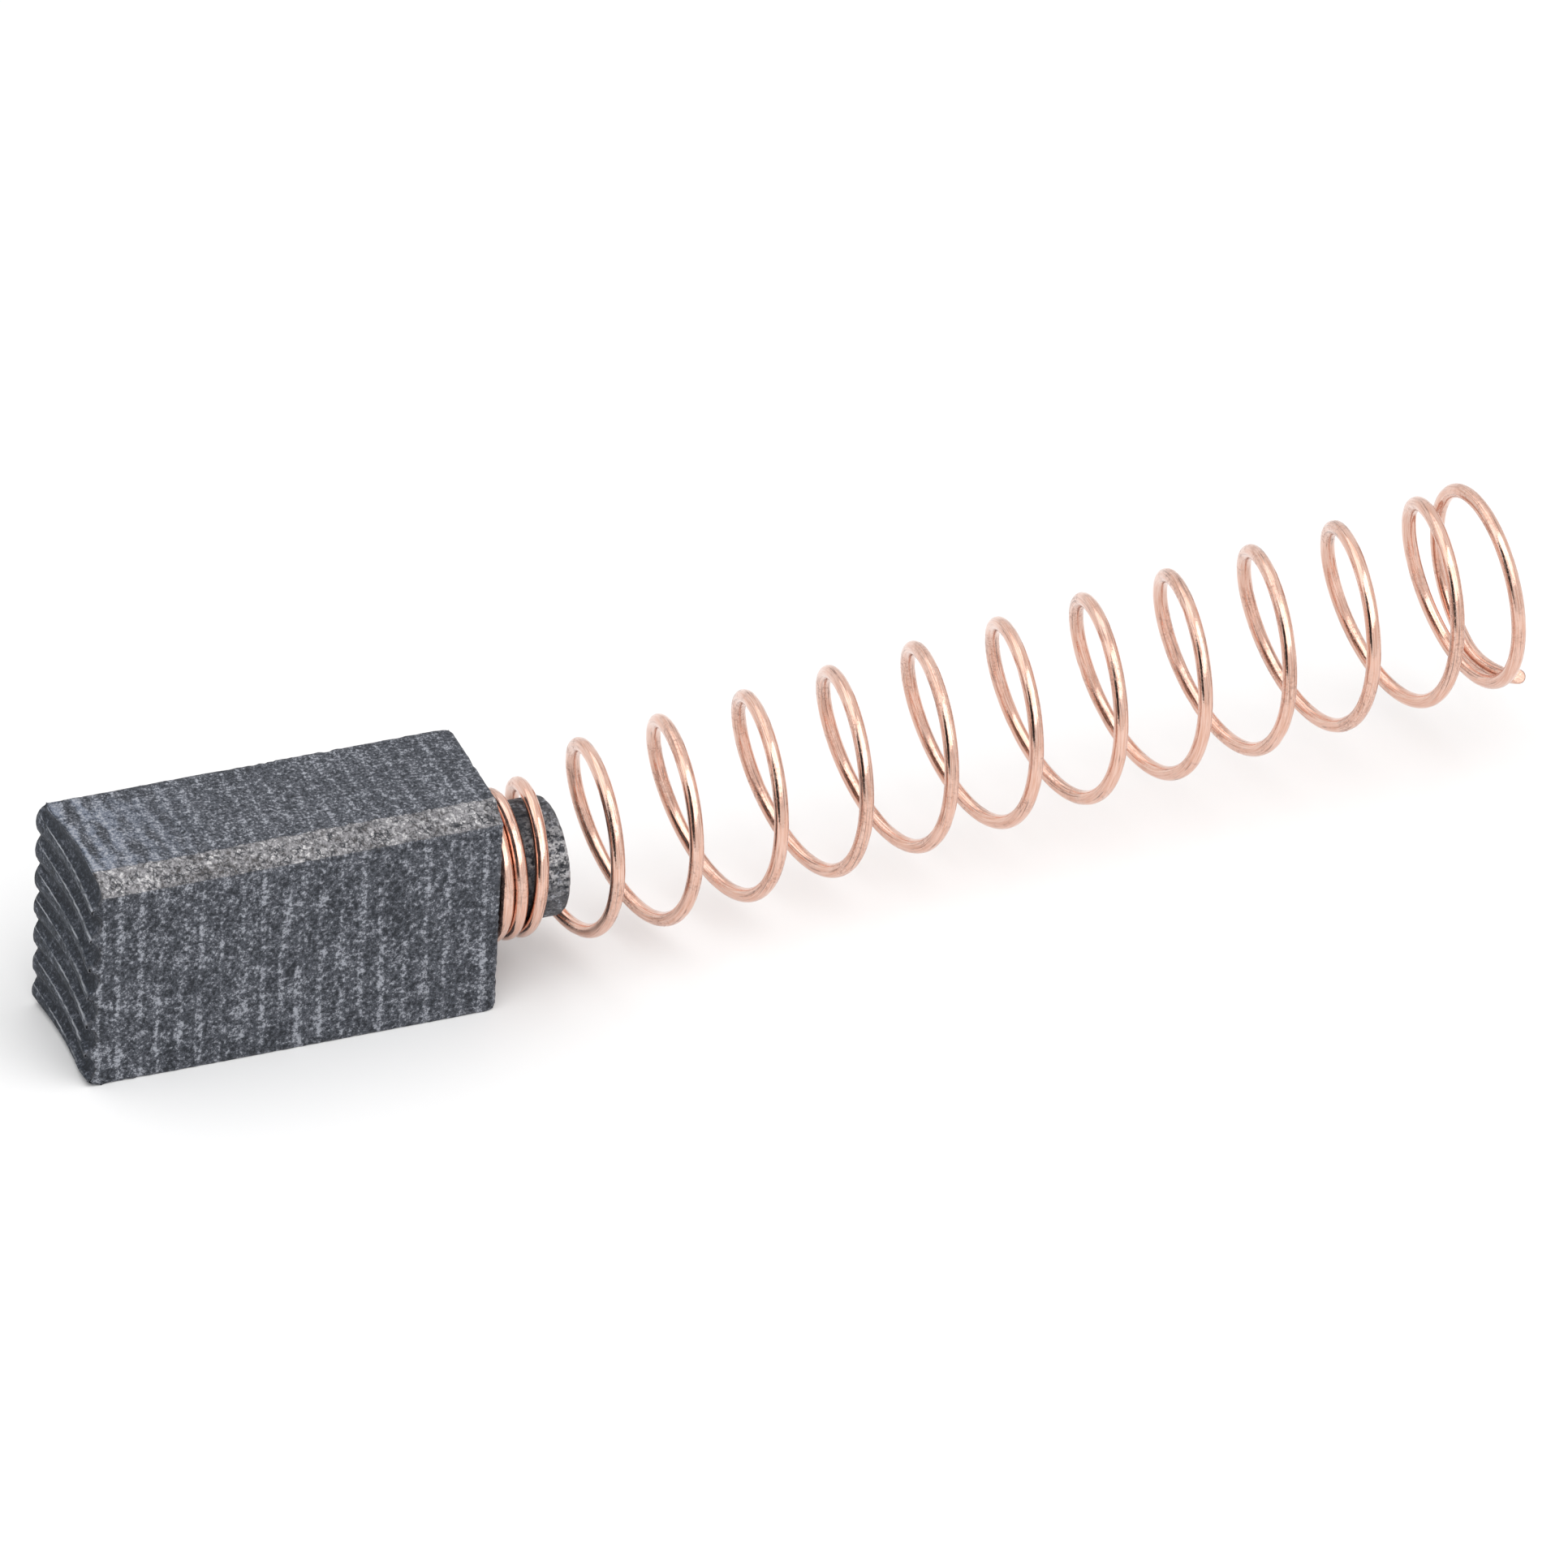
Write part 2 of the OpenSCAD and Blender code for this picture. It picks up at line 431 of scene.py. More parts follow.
def use_group(graph, tree, inputs):
    return graph.add("ShaderNodeGroup", inputs, node_tree=tree).outputs


def new_material(name, levels):
    """Material with one Principled shader set to these levels, its graph and the shader."""
    material = bpy.data.materials.new(name)
    material.use_nodes = True
    graph = Graph(material.node_tree)
    shader = next(n for n in material.node_tree.nodes if n.type == "BSDF_PRINCIPLED")
    for key, level in levels.items():
        graph.join(level, shader.inputs[key])
    return material, graph, shader


def set_bump(graph, shader, height, distance, strength):
    node = graph.add("ShaderNodeBump", {"Height": height, "Distance": distance, "Strength": strength})
    graph.join(node.outputs["Normal"], shader.inputs["Normal"])


def use_grain(graph, scale, shift, dark, mid, light):
    """Grain of one scale in three colours. A positive shift makes it lighter."""
    return use_group(
        graph,
        carbon_grain(),
        {"Scale": scale, "Shift": shift, "Dark": dark, "Mid": mid, "Light": light},
    )


def pressed_carbon(b):
    """The block's own faces, with a paler, crumbled bevel."""
    material, g, shader = new_material("pressed_carbon", CARBON)
    streaks = use_group(g, pressing_streaks(), {"Scale": STREAKS})
    lift = g.sway(streaks["Mask"], g.blend(g.attribute("top"), 0.09, 0.055), 0.2)
    patches = g.noise(g.place((1, 0.6, 1)), 900.0, 3.0, 0.65)
    patches = g.plus(patches, g.sway(streaks["Height"], 0.3))
    bloom = g.times(g.attribute("bloom"), g.ramp(patches, 0.4, 0.62))
    mid = g.mix(g.times(bloom, 0.75), b.face_mid, b.bloom)
    shift = g.plus(lift, g.times(bloom, 0.06))
    face = use_grain(g, FACE_GRAIN, shift, b.face_dark, mid, b.face_light)
    ragged = g.noise(g.place(), 3600.0, 4.0, 0.65)
    shift = g.sway(ragged, 0.12)
    bevel = use_grain(g, BEVEL_GRAIN, shift, b.bevel_dark, b.bevel_mid, b.bevel_light)
    pits = use_group(g, fine_pits(), {"Scale": 6500.0})
    crumbled = g.mix(g.times(pits["Mask"], 0.9), bevel["Color"], b.face_dark)
    edge = g.plus(g.attribute("bevel"), g.sway(ragged, 1.6))
    on_bevel = g.ramp(edge, 0.42, 0.6)
    border = g.times(g.ramp(edge, 0.22, 0.44), g.ramp(edge, 0.62, 0.46))
    border = g.times(border, g.ramp(ragged, 0.46, 0.58))
    base = g.mix(on_bevel, face["Color"], crumbled)
    base = g.mix(g.times(border, 0.6), base, b.face_dark)
    # Painted highlight along the sharp edges, in the bevel's pale colour
    rim = g.times(g.attribute("rim"), g.ramp(ragged, 0.35, 0.65))
    base = g.mix(g.times(rim, 0.3), base, b.bevel_mid)
    g.join(base, shader.inputs["Base Color"])
    g.join(g.blend(face["Light grains"], 0.75, 0.5), shader.inputs["Roughness"])
    relief = g.plus(face["Height"], g.times(streaks["Height"], 0.6))
    set_bump(g, shader, relief, distance=0.00005, strength=0.8)
    return material


def contact_carbon(b):
    """The grooved face that runs on the commutator: darker, with burnished crest edges painted as
    highlights and painted shade down in the grooves.
    """
    material, g, shader = new_material("contact_carbon", CARBON)
    scratches = g.noise(g.place((0.7, 0.07, 1.0)), 9000.0, 2.0)
    shift = g.sway(scratches, 0.22, 0.55)
    grain = use_grain(g, FACE_GRAIN, shift, b.contact_dark, b.contact_mid, b.contact_light)
    # How far each point is below the middle of its crest, in grooves
    below = g.minus(g.math("FRACT", g.plus(g.attribute("down"), 0.5)), 0.5)
    edge = g.attribute("edge")
    # Burnished crest edges painted as a highlight, the upper edge of each groove stronger than the lower
    upper = g.ramp(g.math("ABSOLUTE", g.plus(below, edge)), 0.026, 0.006)
    lower = g.ramp(g.math("ABSOLUTE", g.minus(below, edge)), 0.026, 0.006)
    broken = g.ramp(g.noise(g.place((1, 0.5, 1)), 2100.0, 4.0, 0.65), 0.38, 0.66)
    crest_burnish_and_glint = g.times(g.math("MAXIMUM", upper, g.times(lower, 0.4)), broken)
    # Painted shade in the grooves, away from the crest edges
    inside = g.ramp(g.minus(g.math("ABSOLUTE", below), edge), 0.02, 0.16)
    base = g.mix(g.times(inside, 0.4), grain["Color"], b.contact_dark)
    base = g.mix(g.times(crest_burnish_and_glint, 0.85), base, b.crest_burnish_and_highlight)
    # Painted highlight along the edges, in the bevel's pale colour
    rim = g.times(g.attribute("rim"), g.ramp(scratches, 0.4, 0.6))
    base = g.mix(g.times(rim, 0.3), base, b.bevel_mid)
    g.join(base, shader.inputs["Base Color"])
    g.join(g.blend(crest_burnish_and_glint, 0.65, 0.4), shader.inputs["Roughness"])
    relief = g.plus(grain["Height"], g.times(scratches, 0.6))
    set_bump(g, shader, relief, distance=0.00005, strength=0.7)
    return material


def stub_carbon(b):
    """The stub: the same carbon, with burnished flecks painted bright as a sheen in a band up from its
    front, painted shade under the spring's grip and a painted highlight along its edges.
    """
    material, g, shader = new_material("stub_carbon", CARBON)
    grain = use_grain(g, STUB_GRAIN, 0.0, b.face_dark, b.stub_mid, b.face_light)
    pits = use_group(g, fine_pits(), {"Scale": 5600.0})
    dents = g.noise(g.place((0.8, 1, 1)), 6200.0, 4.0, 0.65)
    # Painted sheen: bright burnished flecks in a band up from the stub's front
    burnish_sheen_flecks = g.times(g.attribute("burnish"), g.ramp(dents, 0.43, 0.59))
    base = g.mix(g.times(burnish_sheen_flecks, 0.85), grain["Color"], b.burnish)
    # Painted shade where the spring's grip covers the stub
    base = g.mix(g.times(g.attribute("grip_shade"), 0.92), base, b.face_dark)
    base = g.mix(g.times(pits["Mask"], 0.5), base, b.face_dark)
    # Painted highlight along the stub's edges
    base = g.mix(g.times(g.attribute("rim"), 0.25), base, b.bevel_mid)
    g.join(base, shader.inputs["Base Color"])
    g.join(g.blend(burnish_sheen_flecks, 0.5, 0.3), shader.inputs["Roughness"])
    g.join(g.blend(g.attribute("grip_shade"), 0.5, 0.0), shader.inputs["Metallic"])
    relief = g.plus(g.times(grain["Height"], 0.6), g.times(dents, 1.6))
    set_bump(g, shader, relief, distance=0.00012, strength=0.9)
    return material


def drawn_copper(s):
    """Drawn copper wire: bright, with brown streaks along it, scuffs and fine draw lines."""
    material, g, shader = new_material("drawn_copper", {"Metallic": 1.0})
    spot = g.place()
    # Where each point is round the wire and along it, so that the streaks follow its turns
    along = g.add(
        "ShaderNodeCombineXYZ",
        {"X": g.attribute("round_out"), "Y": g.attribute("round_side"), "Z": g.attribute("run")},
    ).outputs[0]
    drawn = g.noise(along, 9.0, 2.0, 0.6)
    streaky = g.noise(along, 4.2, 3.0, 0.6)
    cloud = g.noise(spot, 700.0, 3.0, 0.6)
    specks = g.noise(spot, 9000.0, 3.0, 0.7)
    streaks = g.times(g.ramp(streaky, 0.54, 0.66), g.ramp(cloud, 0.38, 0.56))
    scuffs = g.times(g.ramp(cloud, 0.45, 0.62), g.ramp(specks, 0.42, 0.72))
    tone = g.mix(g.ramp(drawn, 0.38, 0.62), s.copper, s.copper_deep)
    base = g.mix(g.times(streaks, 0.7), tone, s.tarnish)
    base = g.mix(g.times(scuffs, 0.45), base, s.tarnish)
    g.join(base, shader.inputs["Base Color"])
    polish = g.ramp(cloud, 0.3, 0.7, to_low=0.06, to_high=0.17)
    g.join(g.plus(g.times(scuffs, 0.3), polish), shader.inputs["Roughness"])
    relief = g.plus(g.times(drawn, 0.6), specks)
    set_bump(g, shader, relief, distance=0.00001, strength=0.5)
    return material


# ---- the block


# Numbers of the block's materials
PRESSED, CONTACT, STUB = 0, 1, 2


class Skin:
    """Points, faces and material numbers of a skin that grows from loop to loop."""

    def __init__(self):
        self.points, self.faces, self.kinds = [], [], []
        self.total = 0
        self.last = None

    def add_points(self, points):
        """Adds points and returns their numbers."""
        numbers = np.arange(self.total, self.total + len(points))
        self.points.append(points)
        self.total += len(points)
        return numbers

    def add_face(self, corners, kind):
        self.faces.append(corners)
        self.kinds.append(kind)

    def add_loop(self, loop, kind):
        """Joins a loop to the last one, which has as many points."""
        old, new = self.last, self.add_points(loop)
        for i in range(len(new)):
            j = (i + 1) % len(new)
            self.add_face((old[i], new[i], new[j], old[j]), kind)
        self.last = new

    def add_sparse_loop(self, loop, kind):
        """Joins a loop to the last one, which has twice as many points."""
        old, new = self.last, self.add_points(loop)
        for i in range(len(new)):
            three = [old[(2 * i + k) % len(old)] for k in range(3)]
            self.add_face((*three, new[(i + 1) % len(new)], new[i]), kind)
        self.last = new

    def close(self, tip, kind):
        """Closes the last loop to one point."""
        old, point = self.last, self.add_points(np.array([tip]))[0]
        for i in range(len(old)):
            self.add_face((old[i], point, old[(i + 1) % len(old)]), kind)


class CarbonForm:
    """The block and stub as one skin: the contact face, then loops along the length."""

    # Mesh: columns and steps of the contact face, and gaps from loop to loop
    columns = 72
    steps_per_groove = 28
    first_gap = 0.05
    loop_gap = 0.1
    shoulder_loops = 18
    stub_fillet = 0.08
    smallest_loop = 0.06
    # Steps in which the edge of a groove is looked for
    edge_steps = 41
    # Masks: how far they reach in millimetres, with the painted edge highlight and the painted shade
    # under the grip, and how far up from the front the stub's painted sheen lies
    mask_fade = 0.12
    edge_highlight_reach = 0.09
    bloom_reach = 3.0
    burnish_middle, burnish_spread = 34, 32
    grip_length, grip_fade = 1.0, 0.7
    # Reach of the wear from the edges and corners
    wear_reach, chip_reach, corner_reach = 0.06, 0.12, 0.2
    crumb_depth = 0.05
    # Wear of the contact face's lips: how far back it goes, and over what distance
    top_wear, top_reach = 0.07, 0.1
    bottom_wear, bottom_reach = 0.16, 0.16
    back_corner_wear, back_corner_reach = 0.16, 0.3
    front_corner_wear, front_corner_reach, front_corner_rise = 0.28, 0.45, 0.3

    def __init__(self, b):
        self.b = {k: getattr(b, k) / MM for k in (
            "bevel_top", "bevel_front", "commutator_radius", "groove_pitch", "groove_depth",
            "groove_fade", "crest_land", "crest_round", "crest_over", "stub_length", "stub_round",
            "grain_relief", "edge_wear", "corner_wear", "chip_depth",
        )}
        self.rise = b.groove_rise
        self.stub_radius = b.stub_diameter / MM / 2
        self.half = BLOCK_HIGH.y / MM
        self.height = BLOCK_HIGH.z / MM
        self.shoulder = BLOCK_HIGH.x / MM - self.b["stub_length"]
        self.face = self.shoulder - b.block_length / MM
        self.middle = self.height / 2
        self.heel = self.height - self.b["bevel_front"]
        self.grooves = int(self.height / self.b["groove_pitch"])

    def row_heights(self):
        step = self.b["groove_pitch"] / self.steps_per_groove
        rows = self.height - step * np.arange(self.grooves * self.steps_per_groove + 1)
        rows = np.append(rows, [rows[-1] / 2, 0.0])[::-1]
        # One row is moved to the bevel's lower edge.
        rows[2 * np.argmin(abs(rows[::2] - self.heel))] = self.heel
        return rows

    def on_wheel(self, y, z):
        """Distance across the wheel's axis, and how far down it from the first crest."""
        middle, sine, cosine = self.middle, math.sin(self.rise), math.cos(self.rise)
        across = y * cosine + (z - middle) * sine
        height = middle - y * sine + (z - middle) * cosine
        first = middle + (middle + self.b["crest_over"] + self.half * sine) / cosine
        return across, first - height

    def cuts(self, across, down):
        """How deep the hollow with its round crests is at each point, and how deep the grooves."""
        b = self.b
        big = b["commutator_radius"]
        reach = self.half + self.middle * math.sin(self.rise)
        centre = self.face - math.sqrt(big**2 - reach**2)
        off = down - b["groove_pitch"] * np.round(down / b["groove_pitch"])
        crest = b["crest_round"]
        wheel = big + crest - np.sqrt(crest**2 - off**2)
        half, depth = (b["groove_pitch"] - b["crest_land"]) / 2, b["groove_depth"]
        groove = (half**2 + depth**2) / (2 * depth)
        shift = b["groove_fade"] * big / (2 * self.half)
        side = b["groove_pitch"] / 2 - abs(off)
        ring = big + depth - b["groove_fade"] / 2 - groove
        ring = ring + np.sqrt(np.maximum(groove**2 - side**2, 0))
        # Past its groove a ring is put well inside the wheel, where it cuts nothing.
        ring = np.where(side < groove, ring, 0.9 * big)
        hollow = centre + np.sqrt(wheel**2 - across**2)
        return hollow, centre + np.sqrt(ring**2 - (across + shift) ** 2)

    def contact_x(self, y, z):
        return np.maximum(*self.cuts(*self.on_wheel(y, z)))

    def crest_edges(self, y, z):
        """How many grooves each point is down the wheel, and how far from its crest the groove
        starts, in grooves."""
        across, down = self.on_wheel(y, z)
        pitch = self.b["groove_pitch"]
        edge = np.full(len(across), pitch / 2)
        for off in np.linspace(pitch / 2, 0, self.edge_steps):
            hollow, groove = self.cuts(across, np.full(len(across), off))
            edge = np.where(groove > hollow, off, edge)
        return down / pitch, edge / pitch

    def worn_lip(self, y, z):
        """How far the top and bottom lips of the contact face are worn back, and two corners."""
        top = np.exp(-(((self.height - z) / self.top_reach) ** 2))
        bottom = np.exp(-((z / self.bottom_reach) ** 2))
        lip = self.top_wear * top + self.bottom_wear * bottom
        back = np.exp(-(((self.half - y) / self.back_corner_reach) ** 2))
        lip += self.back_corner_wear * top * back
        lip += self.front_corner_wear * np.exp(
            -((z / self.front_corner_rise) ** 2) - ((self.half + y) / self.front_corner_reach) ** 2
        )
        return lip

    def add_contact_face(self, skin):
        """Adds the contact face, leaves its rim as the last loop and returns the rim's points."""
        rows, cols = self.row_heights(), self.columns
        last = len(rows) - 1
        bevel = np.maximum(rows - self.heel, 0) / self.b["bevel_front"] * self.b["bevel_top"]
        left = -self.half + bevel
        y = left[:, None] + (self.half - left)[:, None] * np.linspace(0, 1, cols + 1)
        z = np.repeat(rows[:, None], cols + 1, 1)
        grid = np.stack([self.contact_x(y, z) + self.worn_lip(y, z), y, z], -1)
        index = skin.add_points(grid.reshape(-1, 3)).reshape(grid.shape[:2])
        for r in range(last):
            for c in range(cols):
                skin.add_face(
                    (index[r, c], index[r, c + 1], index[r + 1, c + 1], index[r + 1, c]), CONTACT
                )
        ring = (
            [(0, c) for c in range(cols)]
            + [(r, cols) for r in range(last)]
            + [(last, c) for c in range(cols, 0, -1)]
            + [(r, 0) for r in range(last, 0, -1)]
        )
        ring_rows, ring_columns = np.array(ring).T
        skin.last = index[ring_rows, ring_columns]
        return grid[ring_rows, ring_columns]

    def add_sides(self, skin, rim):
        """Adds loops to the shoulder, half as dense as the rim, and returns their section."""
        edge = rim[::2].copy()
        edge[:, 0] += self.first_gap
        skin.add_sparse_loop(edge, PRESSED)
        count = round((self.shoulder - self.face) / self.loop_gap)
        for k in range(1, count + 1):
            loop = edge.copy()
            loop[:, 0] += (self.shoulder - edge[:, 0]) * k / count
            skin.add_loop(loop, PRESSED)
        section = edge.copy()
        section[:, 0] = self.shoulder
        return section

    def add_stub(self, skin, square):
        """Adds the shoulder, the stub with its fillet and rounding, and its flat end."""
        around = np.arctan2(square[:, 2] - self.middle, square[:, 1])
        circle = np.stack([np.zeros(len(square)), np.cos(around), np.sin(around)], -1)

        def ring(radius, x):
            return circle * radius + [x, 0, self.middle]

        root, fillet, rounding = self.stub_radius, self.stub_fillet, self.b["stub_round"]
        outer = ring(root + fillet, self.shoulder)
        for k in range(1, self.shoulder_loops + 1):
            skin.add_loop(square + (outer - square) * k / self.shoulder_loops, PRESSED)
        for t in (0.33, 0.66, 1.0):
            turn = t * math.pi / 2
            out, on = fillet * (1 - math.sin(turn)), fillet * (1 - math.cos(turn))
            skin.add_loop(ring(root + out, self.shoulder + on), STUB)
        start = self.shoulder + fillet
        stop = self.shoulder + self.b["stub_length"] - rounding
        steps = round((stop - start) / self.loop_gap)
        for k in range(1, steps + 1):
            skin.add_loop(ring(root, start + (stop - start) * k / steps), STUB)
        for t in np.linspace(0, 1, 6)[1:]:
            turn = t * math.pi / 2
            radius = root - rounding * (1 - math.cos(turn))
            skin.add_loop(ring(radius, stop + rounding * math.sin(turn)), STUB)
        flat = root - rounding
        for radius in np.linspace(flat, self.smallest_loop, round(flat / self.loop_gap))[1:]:
            skin.add_loop(ring(radius, stop + rounding), STUB)
        skin.close([stop + rounding, 0, self.middle], STUB)

    def build(self):
        skin = Skin()
        rim = self.add_contact_face(skin)
        section = self.add_sides(skin, rim)
        self.add_stub(skin, section)
        return np.concatenate(skin.points), skin.faces, skin.kinds

    def off_bevel(self, y, z):
        """Distance of each point from the plane of the bevel."""
        front, top = self.b["bevel_front"], self.b["bevel_top"]
        return ((y + self.half) * front - (z - self.heel) * top) / math.hypot(front, top)

    def edge_distance(self, p):
        """How far each point is from the nearest sharp edge of the block."""
        x, y, z = p.T
        brow = -self.half + self.b["bevel_top"]
        sides = [
            np.hypot(y + self.half, z),
            np.hypot(y - self.half, z),
            np.hypot(y - self.half, z - self.height),
            np.hypot(y + self.half, z - self.heel),
            np.hypot(y - brow, z - self.height),
        ]
        skin = np.minimum.reduce([
            abs(y - self.half), abs(y + self.half), abs(z), abs(z - self.height),
            abs(self.off_bevel(y, z)),
        ])
        sides.append(np.hypot(x - self.shoulder, skin))
        sides.append(np.hypot(x - self.contact_x(y, z), skin))
        near = np.minimum.reduce(sides)
        end = self.shoulder + self.b["stub_length"]
        out = np.hypot(y, z - self.middle)
        stub = np.hypot(x - end, out - self.stub_radius)
        return np.where(x > self.shoulder + 0.05, stub, near)

    def corner_distance(self, p):
        """How far each point is from the nearest corner of the block."""
        x, y, z = p.T
        side = np.minimum(abs(y - self.half), abs(y + self.half))
        level = np.minimum(abs(z), abs(z - self.height))
        end = np.minimum(abs(x - self.shoulder), abs(x - self.contact_x(y, z)))
        return np.sqrt(side**2 + level**2 + end**2)

    def masks(self, p):
        """Where the materials change, where highlight and shade are painted, as values from 0 to 1, and
        where the crests are.
        """
        x, y, z = p.T
        body = x < self.shoulder + 0.01
        on_bevel = np.clip(1 - abs(self.off_bevel(y, z)) / self.mask_fade, 0, 1)
        bevel = body * on_bevel * (z > self.heel - 0.02)
        top = body * np.clip(1 - abs(z - self.height) / self.mask_fade, 0, 1)
        bloom = top * np.exp(-(((x - self.face) / self.bloom_reach) ** 2))
        # Painted edge highlight: how near each point is to a sharp edge
        rim = np.exp(-((self.edge_distance(p) / self.edge_highlight_reach) ** 2))
        down, edge = self.crest_edges(y, z)
        out = x - self.shoulder
        on_stub = out > 0.02
        # Painted sheen on the stub: a bright band by the angle up from its front
        lift = np.degrees(np.arctan2(z - self.middle, -y))
        burnish = np.exp(-(((lift - self.burnish_middle) / self.burnish_spread) ** 2)) * on_stub
        # Painted shade under the spring's grip, fading out past the grip
        grip_shade = on_stub * (1 - smooth((out - self.grip_length) / self.grip_fade))
        return {
            "bevel": bevel, "rim": rim, "top": top, "bloom": bloom, "down": down, "edge": edge,
            "burnish": burnish, "grip_shade": grip_shade,
        }

    def worn(self, p, normals):
        """The same points with grain, streaks, crumbled bevel, worn edges and chips."""
        b = self.b
        grain = rough(p, 3.6, shift=11.0) * b["grain_relief"]
        streaks = wave(p, 1.5, shift=3.0, stretch=(1, 0.12, 0.1)) * b["grain_relief"] * 0.8
        away = self.edge_distance(p)
        crumbs = np.clip(rough(p, 4.6, shift=31.0) - 0.12, 0, 1) * self.crumb_depth
        crumbs = crumbs * self.masks(p)["bevel"]
        ragged = wave(p, 5.1, shift=57.0)
        wear = np.exp(-((away / self.wear_reach) ** 2)) * b["edge_wear"] * (1 + 0.6 * ragged)
        spots = smooth((wave(p, 1.3, shift=83.0) - 0.3) / 0.25) * smooth((ragged + 0.3) / 0.6)
        chips = np.exp(-((away / self.chip_reach) ** 2)) * b["chip_depth"] * spots
        corners = np.exp(-((self.corner_distance(p) / self.corner_reach) ** 2)) * b["corner_wear"]
        inward = b["grain_relief"] * 1.6 - grain - streaks + crumbs + wear + chips + corners
        return p - normals * np.maximum(inward, 0)[:, None]


class BRUSH_OT_block(bpy.types.Operator):
    """Builds the carbon block with its grooved contact face and its stub"""

    bl_idname = "brush.block"
    bl_label = "Carbon Block"

    def execute(self, context):
        b = context.scene.carbon_block
        form = CarbonForm(b)
        points, faces, kinds = form.build()
        piece = mesh_object("block", points, faces, form.masks(points))
        turn_outward(piece)
        place(piece, form.worn(points, vertex_normals(piece)), "carbon_block")
        for material in (pressed_carbon(b), contact_carbon(b), stub_carbon(b)):
            piece.data.materials.append(material)
        piece.data.polygons.foreach_set("material_index", kinds)
        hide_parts("carbon_block")
        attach(piece, "root")
        return {"FINISHED"}


# ---- the spring


